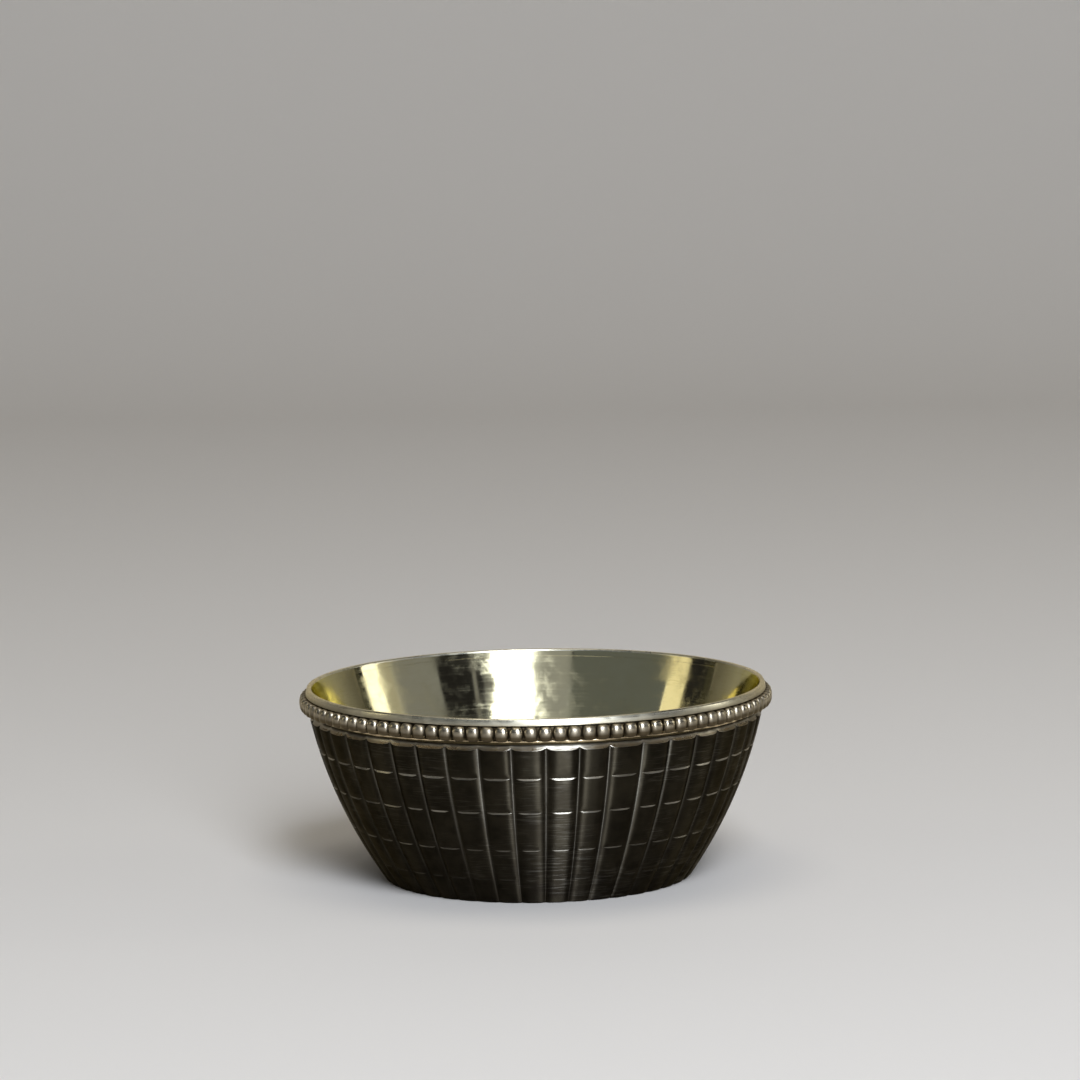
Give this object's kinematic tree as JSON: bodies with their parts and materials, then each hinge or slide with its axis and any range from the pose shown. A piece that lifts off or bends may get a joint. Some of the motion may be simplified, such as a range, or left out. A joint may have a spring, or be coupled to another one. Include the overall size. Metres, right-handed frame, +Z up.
{
  "type": "offering bowl",
  "caption": "Small wide brass offering bowl with a smooth inside, a lobed and notched outer wall, a row of round beads and a thin plain lip.",
  "frame": {"origin": "centre of the standing face, on the table", "axes": "+Z up along the bowl's axis, +X to the right and -Y towards the viewer of the picture"},
  "size_m": [0.09, 0.09, 0.0369],
  "materials": {
    "body_brass": "turned and polished pale brass, darker in the creases",
    "neck_brass": "plain pale brass with warm tarnish",
    "bead_brass": "polished pale brass beads",
    "lip_brass": "polished pale brass with fine turning lines"
  },
  "bodies": {
    "root": {"bowl_body": "body_brass", "neck_ring": "neck_brass", "beaded_wire": "bead_brass", "lip_ring": "lip_brass"}
  },
  "joints": []
}
